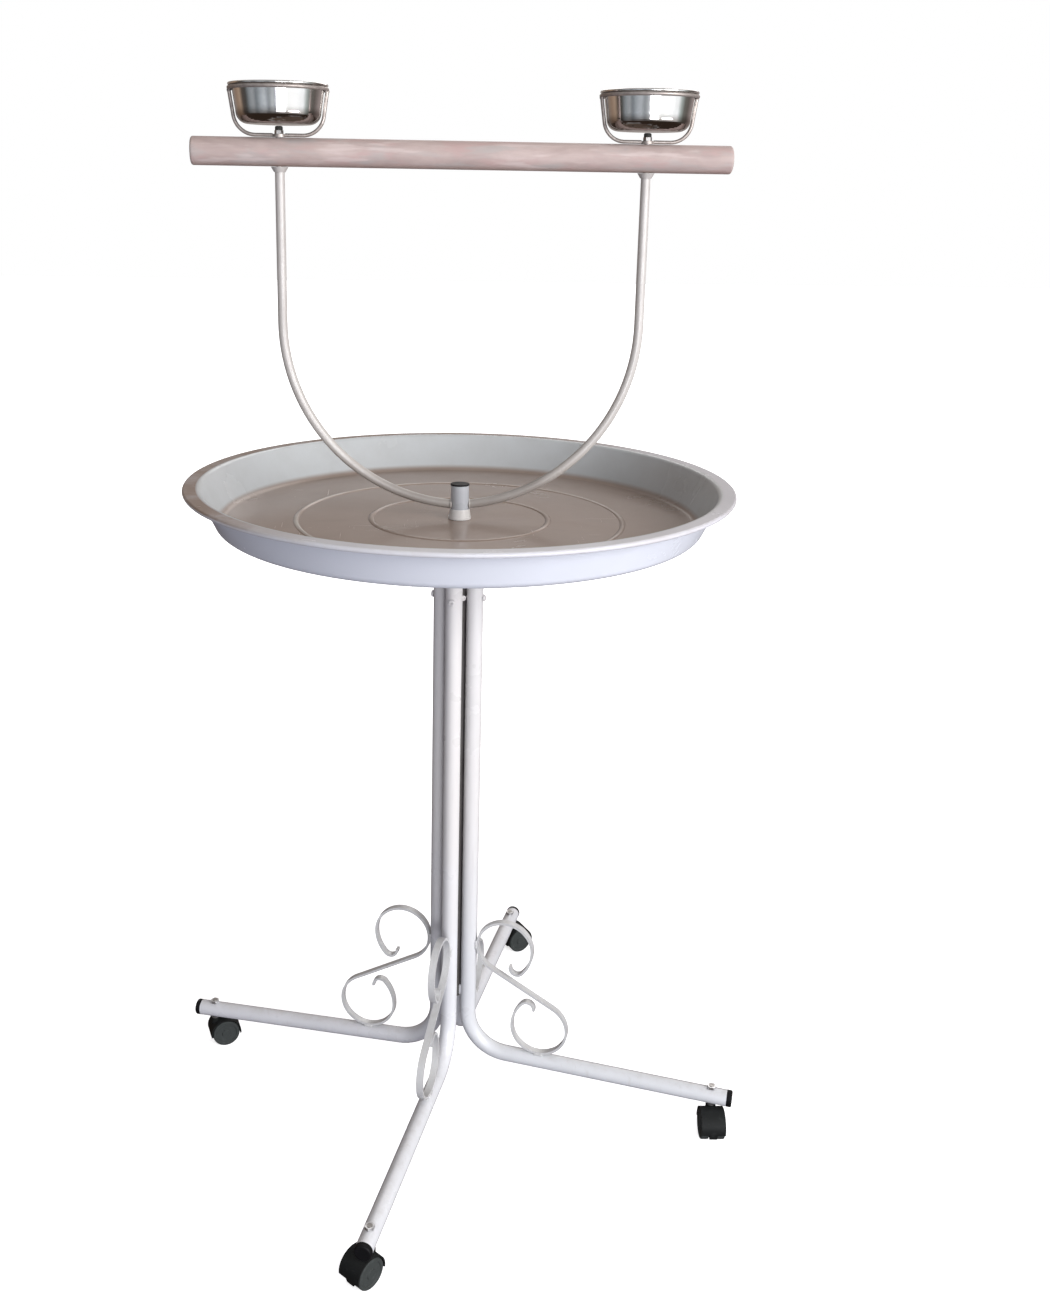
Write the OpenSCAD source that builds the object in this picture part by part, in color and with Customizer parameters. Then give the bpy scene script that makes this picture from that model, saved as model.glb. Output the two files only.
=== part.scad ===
// Bird play stand: a wooden perch with two lift-out feed cups on a U-shaped rod,
// a round seed tray, a column of four bent tubes and four twin-wheel casters.
// Millimetres. +Z is up, the perch lies along X, the origin is on the floor
// under the middle of the column.

/* [Perch] */
// Length of the wooden perch
perch_len = 560; // [520:5:620]
// Diameter of the wooden perch
perch_d = 29; // [26:0.5:32]
// Height of the perch axis above the floor
perch_z = 1113.5; // [1080:0.5:1150]

/* [U-shaped rod] */
// Diameter of the rod
rod_d = 10; // [8:0.5:12]
// Half of the distance between the two uprights
rod_half = 190.3; // [170:0.1:200]
// Radius of the long side bends
rod_side_r = 199; // [192:1:230]
// Angle that each side bend turns through
rod_side_turn = 85; // [60:1:87]
// Height at which the uprights start to bend
rod_bend_z = 941.4; // [930:0.1:970]
// Diameter of the threaded stud at each end
stud_d = 6; // [5:0.5:7]

/* [Feed cups] */
// Radius over the rolled lip of a cup
cup_lip_r = 50.8; // [48:0.1:54]
// Outside radius of the cup's wall at the top
cup_top_r = 47; // [45:0.1:47.2]
// Outside radius of the cup's wall near the bottom
cup_low_r = 43.4; // [42:0.1:43.4]
// Radius of the corner between wall and bottom
cup_corner_r = 12; // [9:0.5:12]
// Outside depth of a cup
cup_depth = 39.8; // [34:0.1:42]
// Thickness of the cup's sheet
cup_t = 0.9; // [0.6:0.1:1.5]
// Diameter of the holder's wire
wire_d = 3.8; // [3:0.1:4.2]
// Radius of the holder's ring, to the middle of the wire
ring_r = 49.6; // [49.4:0.1:51]

/* [Tray] */
// Radius over the tray's rim
tray_r = 300; // [260:1:320]
// Height of the tray's underside above the floor
tray_z = 723.8; // [723.8:0.1:730]
// Height of the tray
tray_h = 45; // [35:1:60]
// Thickness of the tray's wall
tray_t = 3; // [2:0.5:4]
// Slope of the tray's wall from the vertical
tray_slope = 25; // [10:1:30]
// Width of the flat rim
rim_w = 15; // [10:1:20]

/* [Column and legs] */
// Outside diameter of the tubes
tube_d = 19; // [18:0.5:20]
// Wall thickness of the tubes
tube_t = 1.5; // [1:0.1:2]
// Radius of the bend at the foot of the column
bend_r = 50; // [40:1:70]
// Distance from the column's axis to the end of a leg
leg_reach = 336; // [332:1:380]
// How far the legs run downhill, in degrees
leg_fall = 2; // [1:0.5:3]
// Height of the leg's axis over a caster
leg_z = 48; // [48:0.5:52]
// Turn of the four legs about the column, from the perch
legs_turn = -17.9; // [-45:0.1:45]
// Top end of the leg tubes
column_top = 720.2; // [700:0.1:720.2]
// Height of the upper screws through the column
column_screw_z = 637; // [600:1:680]

/* [Scrolls] */
// Width of the scrolls' flat strip
strip_w = 8; // [6:0.5:10]
// Thickness of the scrolls' flat strip
strip_t = 3; // [2:0.5:4]
// Radius of the scroll's large turns
scroll_r = 33.5; // [30:0.5:34]
// Height at which the scroll touches the column
scroll_z = 201; // [192:1:212]

/* [Casters] */
// Radius of a caster's wheel
wheel_r = 17; // [15:0.5:17]
// Width of one wheel
wheel_w = 9.4; // [8:0.1:9.4]
// Distance from a caster's stem to its axle, level
trail = 11; // [10:0.5:12]
// Turn of the left caster
turn_left = 17; // [-180:1:180]
// Turn of the right caster
turn_right = -93; // [-180:1:180]
// Turn of the front caster
turn_front = 225; // [-180:1:360]
// Turn of the back caster
turn_back = 24; // [-180:1:180]

/* [Hidden] */
$fn = 64;

white = [0.90, 0.90, 0.93];
grey = [0.72, 0.72, 0.74];
steel = [0.70, 0.72, 0.74];
black = [0.10, 0.10, 0.11];
dark = [0.30, 0.30, 0.31];
beige = [0.76, 0.68, 0.64];

RIGHT = 0; BACK = 1; LEFT = 2; FRONT = 3;
tr = tube_d / 2;
ti = tr - tube_t;
col_r = tube_d + 0.25;                 // column axis to a leg tube's axis
stem_r = 318;                          // column axis to a caster's stem
bend_a = 90 - leg_fall;                // angle of the leg's bend
bend_end_r = col_r + bend_r - bend_r * cos(bend_a);
bend_end_z = leg_z + (stem_r - bend_end_r) * tan(leg_fall);
bend_z = bend_end_z + bend_r * sin(bend_a);
leg_len = (leg_reach - bend_end_r) / cos(leg_fall);
centre_low = leg_z + 81;
centre_top = tray_z + 4.3;
floor_z = tray_z + tray_t;             // top of the tray's floor
rod_side_c = rod_half - rod_side_r;    // centre of the right side bend, along X
rod_k = -rod_side_c / cos(rod_side_turn);
rod_low_r = rod_side_r - rod_k;
rod_low_c = rod_bend_z - rod_k * sin(rod_side_turn);
rod_low_z = rod_low_c - rod_low_r;     // lowest point of the rod's axis
perch_top = perch_z + perch_d / 2;
perch_low = perch_z - perch_d / 2;
eye_t = 3;
base_z = perch_top + 0.2 + wire_d / 2;
ring_z = perch_z + 61.8;
lip_z = ring_z + wire_d / 2 + 0.3;
cup_top_z = lip_z + 2.8;
cup_low_z = cup_top_z - cup_depth;

function arc(c, r, a0, a1, n) = [for (i = [0:n]) c + r * [cos(a0 + (a1 - a0) * i / n), sin(a0 + (a1 - a0) * i / n)]];
function leg_turn(i) = legs_turn + 90 * i;
function caster_turn(i) = i == RIGHT ? turn_right : i == BACK ? turn_back : i == LEFT ? turn_left : turn_front;

module at_leg(i) rotate([0, 0, leg_turn(i)]) children();
// frame at a caster's stem: X runs from the stem towards the axle
module at_caster(i) at_leg(i) translate([stem_r, 0, 0]) rotate([0, 0, caster_turn(i) - leg_turn(i)]) children();
// part of a round bar bent in the XZ plane about (cx, cz)
module bar_arc(cx, cz, r, a0, a1, d) translate([cx, 0, cz]) rotate([90, 0, 0]) rotate([0, 0, a0])
  rotate_extrude(angle = a1 - a0, $fn = 96) translate([r, 0]) circle(d = d, $fn = 48);
// straight pieces run this far into a bend, and a bend is this much fatter than they are
lap = 0.6;
fat = 0.04;

// the outline of one leg tube: column part, bend and leg
module leg_line(r, over) {
  translate([col_r, 0, bend_z - lap]) cylinder(r = r, h = column_top - bend_z + lap + over, $fn = 64);
  bar_arc(col_r + bend_r, bend_z, bend_r, 180, 180 + bend_a, 2 * r + fat);
  translate([bend_end_r, 0, bend_end_z]) rotate([0, 90 + leg_fall, 0]) translate([0, 0, -lap]) cylinder(r = r, h = leg_len + lap + over, $fn = 64);
}
module leg_tube(i) color(white) at_leg(i) difference() {
  leg_line(tr, 0);
  leg_line(ti, 1);
  translate([stem_r, 0, leg_z - 15]) cylinder(d = 6.4, h = 30);
  translate([0, 0, column_screw_z]) rotate([0, 90, 0]) cylinder(d = 4.2, h = 40);
}

scroll_c = [tr + col_r + 0.05 + strip_t / 2 + scroll_r, scroll_z];
scroll_c2r = scroll_c[0] + 44.7;
scroll_c2 = [scroll_c2r, leg_z + (stem_r - scroll_c2r) * tan(leg_fall) + (tr + 0.05 + strip_t / 2 + scroll_r) / cos(leg_fall)];
scroll_m = (scroll_c + scroll_c2) / 2;
scroll_half = norm(scroll_c - scroll_m);
scroll_dir = atan2(scroll_c[1] - scroll_m[1], scroll_c[0] - scroll_m[0]) + asin(scroll_r / scroll_half);
fore_r = 45;
fore_a = 42;
hook_r = 8.5;
fore_c = [scroll_c[0] + scroll_r - fore_r, scroll_c[1]];
hook_c = fore_c + (fore_r - hook_r) * [cos(fore_a), -sin(fore_a)];
// one side of the upper half of the S, k = 1 on the left of the line from its middle and -1 on the right
function turns(c, r, a0, a1, n, k) = [for (i = [0:n]) let (a = a0 + (a1 - a0) * i / n) c + (r + k * strip_t / 2) * [cos(a), sin(a)]];
function side(k) = concat(
  turns(scroll_c, scroll_r, scroll_dir + 90, 0, 60, k),
  [for (i = [1:10]) let (a = -fore_a * i / 10) fore_c + (fore_r + k * strip_t / 2) * [cos(a), sin(a)]],
  [for (i = [1:16]) let (a = -fore_a - (190 - fore_a) * i / 16) hook_c + (hook_r + k * strip_t / 2) * [cos(a), sin(a)]]);
function back(v) = [for (i = [len(v) - 1:-1:0]) v[i]];
half_outline = concat(side(1), back(side(-1)));
module scroll(i) color(grey) at_leg(i) rotate([90, 0, 0]) linear_extrude(height = strip_w, center = true)
  polygon(concat(half_outline, [for (p = half_outline) 2 * scroll_m - p]));

module leg_end_caps() color(black) for (i = [0:3]) at_leg(i)
  translate([bend_end_r, 0, bend_end_z]) rotate([0, 90 + leg_fall, 0]) translate([0, 0, leg_len]) {
    translate([0, 0, -12]) cylinder(r = ti - 0.05, h = 12.1);
    translate([0, 0, 0.05]) rotate_extrude() polygon(concat([[0, 0]], arc([tr - 1.9, 4.4], 2, 0, 90, 6), [[0, 6.4]]));
    translate([0, 0, 0.05]) cylinder(r = tr + 0.1, h = 4.35);
  }

module centre_tube() color(dark) difference() {
  translate([0, 0, centre_low]) cylinder(r = tr, h = centre_top - centre_low, $fn = 64);
  translate([0, 0, centre_low - 1]) cylinder(r = ti, h = centre_top - centre_low + 2, $fn = 64);
  for (i = [0:3]) at_leg(i) translate([ti - 3, 0, column_screw_z]) rotate([0, 90, 0]) cylinder(d = 4.2, h = 8);
  at_leg(3) rotate([0, 0, 45]) translate([ti - 3, 0, column_screw_z]) rotate([0, 90, 0]) cylinder(d = 4.2, h = 8);
}

// dished plate that the tray rests on, with a skirt over the tops of the leg tubes
module tray_support() color(white) difference() {
  union() {
    translate([0, 0, tray_z - 3.1]) cylinder(r = 75, h = 3, $fn = 96);
    translate([0, 0, tray_z - 22]) cylinder(r = col_r + tr + 2.6, h = 20, $fn = 96);
  }
  translate([0, 0, tray_z - 23]) cylinder(r = col_r + tr + 0.1, h = 19.8, $fn = 96);
  translate([0, 0, tray_z - 24]) cylinder(r = tr + 0.1, h = 30, $fn = 64);
}

// one pan-head screw along +X, its head's underside at x = 0
module pan_screw(head_r, head_h, shank_r, shank_l) rotate([0, 90, 0]) difference() {
  union() {
    rotate_extrude() polygon(concat([[0, 0], [head_r, 0], [head_r, head_h * 0.4]], arc([head_r * 0.55, head_h * 0.4], head_r * 0.45, 0, 90, 6) , [[0, head_h * 0.4 + head_r * 0.45]]));
    translate([0, 0, -shank_l]) cylinder(r = shank_r, h = shank_l + 0.1);
  }
  for (a = [0, 90]) rotate([0, 0, a]) translate([-head_r * 0.55, -0.4, head_h * 0.45]) cube([head_r * 1.1, 0.8, head_h * 2]);
}
module column_screws() color(white) for (i = [0:3]) at_leg(i)
  translate([col_r + tr + 0.02, 0, column_screw_z]) pan_screw(4, 2.6, 2, col_r + tr - 8.2);
module post_set_screw() color(white) at_leg(3) rotate([0, 0, 45])
  translate([tr + 0.1, 0, column_screw_z]) pan_screw(3.2, 3.2, 2, tr - 8.1);

// tray: one sheet of even thickness from floor to rolled rim
tray_fillet = 12;
zt = tray_z + tray_h;
tw = [sin(tray_slope), cos(tray_slope)];
tn = [cos(tray_slope), -sin(tray_slope)];
rim_c = [tray_r - rim_w, zt - 5];
tray_s = (rim_c[1] - tray_z - tray_fillet + (tray_fillet - tray_t) * sin(tray_slope) + 5 * sin(tray_slope)) / cos(tray_slope);
tray_flat = rim_c[0] - tray_s * tw[0] - 5 * tn[0] - (tray_fillet - tray_t) * cos(tray_slope);
low_c = [tray_flat, tray_z + tray_fillet];
bead = 2.6;
module tray() color(white) {
  difference() {
    rotate_extrude($fn = 180) polygon(concat(
      [[tr + 0.4, tray_z]],
      arc(low_c, tray_fillet, -90, -tray_slope, 10),
      arc(rim_c, 5 - tray_t, 180 - tray_slope, 90, 5),
      arc([tray_r - bead, zt - bead], bead, -160, 90, 14),
      arc(rim_c, 5, 90, 180 - tray_slope, 8),
      arc(low_c, tray_fillet - tray_t, -tray_slope, -90, 10),
      [[tr + 0.4, floor_z]]));
  }
  for (r = [98, 180]) rotate_extrude($fn = 180) polygon(concat([[r - 3.2, floor_z - 0.5]], [[r + 3.2, floor_z - 0.5]], arc([r, floor_z - 3.2], 4.5, 45.3, 134.7, 8)));
}

module tray_collar() color(white) difference() {
  translate([0, 0, floor_z + 0.3]) rotate_extrude($fn = 64) polygon(concat([[9, 0], [12.6, 0], [12.6, 1.2]], arc([11.6, 2.2], 1, 0, 60, 4), [[10.9, 10.4], [10.6, 11], [9, 11]]));
  translate([0, 0, floor_z]) cylinder(r = 10.1, h = 30, $fn = 64);
}

post_low = centre_top + 0.4;
post_top = tray_z + 40.8;
pin_low = tray_z - 82.8;
module post_tube() color(white) difference() {
  union() {
    translate([0, 0, post_low]) cylinder(r = 10, h = post_top - post_low, $fn = 64);
    translate([0, 0, pin_low]) cylinder(r = ti - 0.1, h = post_low - pin_low + 1, $fn = 64);
  }
  translate([0, 0, pin_low - 1]) cylinder(r = ti - 1.8, h = 140, $fn = 64);
  translate([0, 0, post_low + 3]) cylinder(r = 8, h = 60, $fn = 64);
  translate([0, 0, rod_low_z]) rotate([0, 90, 0]) translate([0, 0, -20]) cylinder(r = rod_d / 2 + 0.15, h = 40, $fn = 48);
}
module post_cap() color(black) {
  translate([0, 0, post_top - 6]) cylinder(r = 7.9, h = 6.2, $fn = 64);
  translate([0, 0, post_top + 0.05]) rotate_extrude($fn = 64) polygon(concat([[0, 0], [10.5, 0]], arc([9.7, 0.9], 0.8, 0, 70, 4), [[5, 2.3], [0, 2.5]]));
}

module u_rod() color(grey) {
  for (m = [0, 180]) rotate([0, 0, m]) {
    bar_arc(rod_side_c, rod_bend_z, rod_side_r, -rod_side_turn - 0.2, 0, rod_d);
    translate([rod_half, 0, rod_bend_z - lap]) cylinder(d = rod_d - fat, h = perch_low - 0.1 - rod_bend_z + lap, $fn = 48);
    translate([rod_half, 0, perch_low - 1]) cylinder(d = stud_d, h = 39.4, $fn = 32);
  }
  bar_arc(0, rod_low_c, rod_low_r, rod_side_turn - 180, -rod_side_turn, rod_d + fat);
}
module perch() color(beige) difference() {
  rotate([0, 90, 0]) translate([-perch_z, 0, -perch_len / 2]) rotate_extrude($fn = 96)
    polygon(concat([[0, 0]], arc([perch_d / 2 - 2.5, 2.5], 2.5, -90, 0, 6), arc([perch_d / 2 - 2.5, perch_len - 2.5], 2.5, 0, 90, 6), [[0, perch_len]]));
  for (s = [-1, 1]) translate([s * rod_half, 0, perch_z - 20]) cylinder(d = stud_d + 0.4, h = 40, $fn = 32);
}
module perch_stop_collars() color(grey) for (s = [-1, 1]) translate([s * rod_half, 0, 0]) difference() {
  translate([0, 0, perch_low - 5.4]) cylinder(r1 = rod_d / 2 + 0.9, r2 = 9, h = 5.2, $fn = 48);
  translate([0, 0, perch_low - 6]) cylinder(d = rod_d, h = 7, $fn = 48);
}

module cup_ring(s) color(steel) translate([s * rod_half, 0, ring_z])
  rotate_extrude($fn = 96) translate([ring_r, 0]) circle(d = wire_d, $fn = 32);
bracket_r = 22;
bracket_lean = 8.5;                    // the bracket's arms lean out this much
arm_z = base_z + bracket_r * (1 - sin(bracket_lean));
arm_top = ring_z - wire_d / 2 - 0.05;
bracket_c = ring_r - bracket_r * cos(bracket_lean) - (arm_top - arm_z) * tan(bracket_lean);
module cup_bracket(s) color(steel) translate([s * rod_half, 0, 0]) difference() {
  union() {
    for (m = [0, 180]) rotate([0, 0, m]) {
      translate([ring_r, 0, arm_top]) rotate([0, 180 + bracket_lean, 0]) translate([0, 0, 0.03]) cylinder(d = wire_d - fat, h = (arm_top - arm_z) / cos(bracket_lean) - 0.03 + lap, $fn = 32);
      bar_arc(bracket_c, base_z + bracket_r, bracket_r, -90, -bracket_lean, wire_d);
    }
    translate([-bracket_c - lap, 0, base_z]) rotate([0, 90, 0]) cylinder(d = wire_d - fat, h = 2 * (bracket_c + lap), $fn = 32);
    translate([0, 0, perch_top + 0.2]) cylinder(r = 6.5, h = eye_t, $fn = 48);
  }
  translate([0, 0, perch_top - 2]) cylinder(d = stud_d + 0.3, h = 12, $fn = 32);
  translate([0, 0, perch_top + 0.2 + eye_t]) cylinder(r = 6.5, h = 4, $fn = 48);
}
module feed_cup(s) color(steel) translate([s * rod_half, 0, 0]) rotate_extrude($fn = 128) polygon(concat(
  [[0, cup_low_z]],
  arc([cup_low_r - cup_corner_r, cup_low_z + cup_corner_r], cup_corner_r, -90, 0, 12),
  [[cup_top_r, lip_z]],
  arc([cup_lip_r - 1.4, lip_z + 1.4], 1.4, -90, 90, 10),
  arc([cup_top_r + 1.1, cup_top_z - 2], 2, 90, 180, 6),
  arc([cup_low_r - cup_corner_r, cup_low_z + cup_corner_r], cup_corner_r - cup_t, 0, -90, 12),
  [[0, cup_low_z + cup_t]]));

nut_z = perch_top + 0.2 + eye_t + 0.05;
module holder_nuts() color(steel) for (s = [-1, 1]) translate([s * rod_half, 0, nut_z]) difference() {
  intersection() {
    cylinder(r = 4.62, h = 3.6, $fn = 6);
    cylinder(r1 = 8, r2 = 4.1, h = 5.6, $fn = 48);
  }
  translate([0, 0, -1]) cylinder(d = stud_d, h = 8, $fn = 32);
}
module thread_caps() color(black) for (s = [-1, 1]) translate([s * rod_half, 0, nut_z + 3.65]) difference() {
  rotate_extrude($fn = 48) polygon(concat([[0, 0], [4, 0], [4, 2.6]], arc([2.4, 2.6], 1.6, 0, 90, 6), [[0, 4.2]]));
  translate([0, 0, -1]) cylinder(d = stud_d, h = 3.6, $fn = 32);
}

module caster_nuts() color(steel) for (i = [0:3]) at_leg(i) translate([stem_r, 0, leg_z + tr + 0.3]) difference() {
  intersection() {
    cylinder(r = 5.5, h = 3.2, $fn = 6);
    cylinder(r1 = 8.6, r2 = 4.9, h = 4.2, $fn = 48);
  }
  translate([0, 0, -1]) cylinder(d = 6, h = 8, $fn = 48);
}
module caster_stem(i) color(steel) at_leg(i) translate([stem_r, 0, 0]) {
  translate([0, 0, 36.9]) cylinder(r = 5.2, h = leg_z - tr - 0.3 - 36.9, $fn = 48);
  translate([0, 0, 37.3]) cylinder(r = 3, h = leg_z + tr + 4.1 - 37.3, $fn = 48);
  translate([0, 0, 23.5]) cylinder(r = 2.5, h = 14, $fn = 48);
}
web_w = 8.6;
hood_r = wheel_r + 2.4;
hood_w = web_w + 0.8 + 2 * wheel_w;
// caster frame: X towards the axle, the axle along Y
module caster_hood(i) color(black) at_caster(i) difference() {
  union() {
    translate([trail, 0, wheel_r]) rotate([90, 0, 0]) intersection() {
      difference() {
        translate([0, 0, -hood_w / 2]) cylinder(r = hood_r, h = hood_w, $fn = 96);
        translate([0, 0, -18]) cylinder(r = hood_r - 1.8, h = 36, $fn = 96);
      }
      union() {
        translate([-30, 0, -20]) cube([60, 30, 40]);
        for (s = [-1, 1]) translate([s * 19 - 7, -2.5, -20]) cube([14, 5, 40]);
      }
    }
    translate([trail, 0, wheel_r]) rotate([90, 0, 0]) intersection() {
      translate([0, 0, -web_w / 2]) cylinder(r = hood_r - 0.5, h = web_w, $fn = 96);
      translate([-30, -9.5, -20]) cube([60, 50, 40]);
    }
    translate([0, 0, 20]) cylinder(r = 6, h = 16.5, $fn = 48);
  }
  translate([0, 0, 23]) cylinder(r = 2.55, h = 20, $fn = 48);
  translate([trail, 0, wheel_r]) rotate([90, 0, 0]) translate([0, 0, -20]) cylinder(r = 2.1, h = 40, $fn = 48);
  for (s = [-1, 1]) translate([trail, s * (web_w / 2 + 6.5), wheel_r]) rotate([90, 0, 0]) translate([0, 0, -6.5]) cylinder(r = wheel_r + 0.8, h = 13, $fn = 96);
}
module caster_axle(i) color(steel) at_caster(i) translate([trail, 0, wheel_r]) rotate([90, 0, 0]) translate([0, 0, -12.1]) cylinder(r = 2.1, h = 24.2, $fn = 48);
module caster_wheel(i, s) color(black) at_caster(i) translate([trail, s * (web_w / 2 + 0.4), wheel_r]) rotate([-90 * s, 0, 0]) difference() {
  rotate_extrude($fn = 96) polygon(concat([[0, 0]], arc([wheel_r - 1.5, 1.5], 1.5, -90, 0, 5), arc([wheel_r - 1.5, wheel_w - 1.5], 1.5, 0, 90, 5),
    [[13.4, wheel_w], [12.5, wheel_w - 1.1], [5.6, wheel_w - 1.1], [4.8, wheel_w], [0, wheel_w]]));
  translate([0, 0, -1]) cylinder(r = 2.15, h = wheel_w - 0.6, $fn = 48);
}

leg_tube(RIGHT);  // leg_tube_right
leg_tube(BACK);  // leg_tube_back
leg_tube(LEFT);  // leg_tube_left
leg_tube(FRONT);  // leg_tube_front
scroll(RIGHT);  // scroll_right
scroll(BACK);  // scroll_back
scroll(LEFT);  // scroll_left
scroll(FRONT);  // scroll_front
leg_end_caps();
centre_tube();
tray_support();
column_screws();
post_set_screw();
tray();
tray_collar();
post_tube();
post_cap();
u_rod();
perch();
perch_stop_collars();
cup_ring(-1);  // cup_ring_left
cup_ring(1);  // cup_ring_right
cup_bracket(-1);  // cup_bracket_left
cup_bracket(1);  // cup_bracket_right
feed_cup(-1);  // feed_cup_left
feed_cup(1);  // feed_cup_right
holder_nuts();
thread_caps();
caster_nuts();
caster_stem(RIGHT);  // caster_stem_right
caster_stem(BACK);  // caster_stem_back
caster_stem(LEFT);  // caster_stem_left
caster_stem(FRONT);  // caster_stem_front
caster_hood(RIGHT);  // caster_hood_right
caster_hood(BACK);  // caster_hood_back
caster_hood(LEFT);  // caster_hood_left
caster_hood(FRONT);  // caster_hood_front
caster_axle(RIGHT);  // caster_axle_right
caster_axle(BACK);  // caster_axle_back
caster_axle(LEFT);  // caster_axle_left
caster_axle(FRONT);  // caster_axle_front
caster_wheel(RIGHT, 1);  // caster_wheel_right_a
caster_wheel(RIGHT, -1);  // caster_wheel_right_b
caster_wheel(BACK, 1);  // caster_wheel_back_a
caster_wheel(BACK, -1);  // caster_wheel_back_b
caster_wheel(LEFT, 1);  // caster_wheel_left_a
caster_wheel(LEFT, -1);  // caster_wheel_left_b
caster_wheel(FRONT, 1);  // caster_wheel_front_a
caster_wheel(FRONT, -1);  // caster_wheel_front_b
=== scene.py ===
"""Bird play stand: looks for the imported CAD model. Metres, +Z up, perch along X, camera side is -Y."""

import math

import bmesh
import bpy
import numpy as np
from mathutils import Matrix, Vector, noise


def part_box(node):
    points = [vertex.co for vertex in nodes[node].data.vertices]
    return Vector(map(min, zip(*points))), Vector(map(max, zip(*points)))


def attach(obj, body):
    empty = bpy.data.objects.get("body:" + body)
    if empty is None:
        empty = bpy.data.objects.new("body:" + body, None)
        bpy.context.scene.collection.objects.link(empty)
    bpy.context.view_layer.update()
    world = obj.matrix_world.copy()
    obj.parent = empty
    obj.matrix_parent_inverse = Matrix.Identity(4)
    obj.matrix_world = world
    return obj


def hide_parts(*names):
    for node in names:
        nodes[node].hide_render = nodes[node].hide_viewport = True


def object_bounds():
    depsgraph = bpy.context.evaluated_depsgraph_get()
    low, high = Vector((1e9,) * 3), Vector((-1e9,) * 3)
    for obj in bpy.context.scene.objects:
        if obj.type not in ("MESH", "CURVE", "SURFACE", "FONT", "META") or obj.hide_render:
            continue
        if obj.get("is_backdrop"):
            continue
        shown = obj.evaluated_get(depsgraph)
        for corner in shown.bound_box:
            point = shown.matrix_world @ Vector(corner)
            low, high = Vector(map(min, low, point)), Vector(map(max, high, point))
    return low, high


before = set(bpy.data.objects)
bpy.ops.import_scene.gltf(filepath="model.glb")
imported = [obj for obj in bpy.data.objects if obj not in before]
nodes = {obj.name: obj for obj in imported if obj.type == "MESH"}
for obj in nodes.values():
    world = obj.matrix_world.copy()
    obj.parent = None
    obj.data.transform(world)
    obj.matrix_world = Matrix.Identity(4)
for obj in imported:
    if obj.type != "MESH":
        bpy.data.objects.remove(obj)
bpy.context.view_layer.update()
scene = bpy.context.scene
TRAY_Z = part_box("tray")[0].z
PERCH_Z = (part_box("perch")[0].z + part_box("perch")[1].z) / 2

# ---------------------------------------------------------------- camera
PX_W, PX_H = 1050.0, 1298.0
FOCAL, CX, CY = 1348.19, 475.09, 545.77
YAW, PITCH, ROLL = 0.0659, 0.26287, 0.01706
PLACE = Vector((-0.0779, -1.4500, TRAY_Z + 0.3624))

forward = Vector((math.sin(YAW) * math.cos(PITCH), math.cos(YAW) * math.cos(PITCH), -math.sin(PITCH)))
level = Vector((math.cos(YAW), -math.sin(YAW), 0.0))
down = forward.cross(level)
axis_x = math.cos(ROLL) * level - math.sin(ROLL) * down
axis_y = -(math.sin(ROLL) * level + math.cos(ROLL) * down)
camera_data = bpy.data.cameras.new("camera")
camera_data.sensor_width = 36.0
camera_data.lens = FOCAL * 36.0 / PX_H
camera_data.shift_x = (PX_W / 2 - CX) / PX_H
camera_data.shift_y = -(PX_H / 2 - CY) / PX_H
camera_data.clip_start, camera_data.clip_end = 0.02, 60.0
camera = bpy.data.objects.new("camera", camera_data)
turn = Matrix((axis_x, axis_y, -forward)).transposed().to_4x4()
camera.matrix_world = Matrix.Translation(PLACE) @ turn
scene.collection.objects.link(camera)
scene.camera = camera
scene.view_settings.view_transform = "Standard"
scene.view_settings.look = "None"


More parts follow.
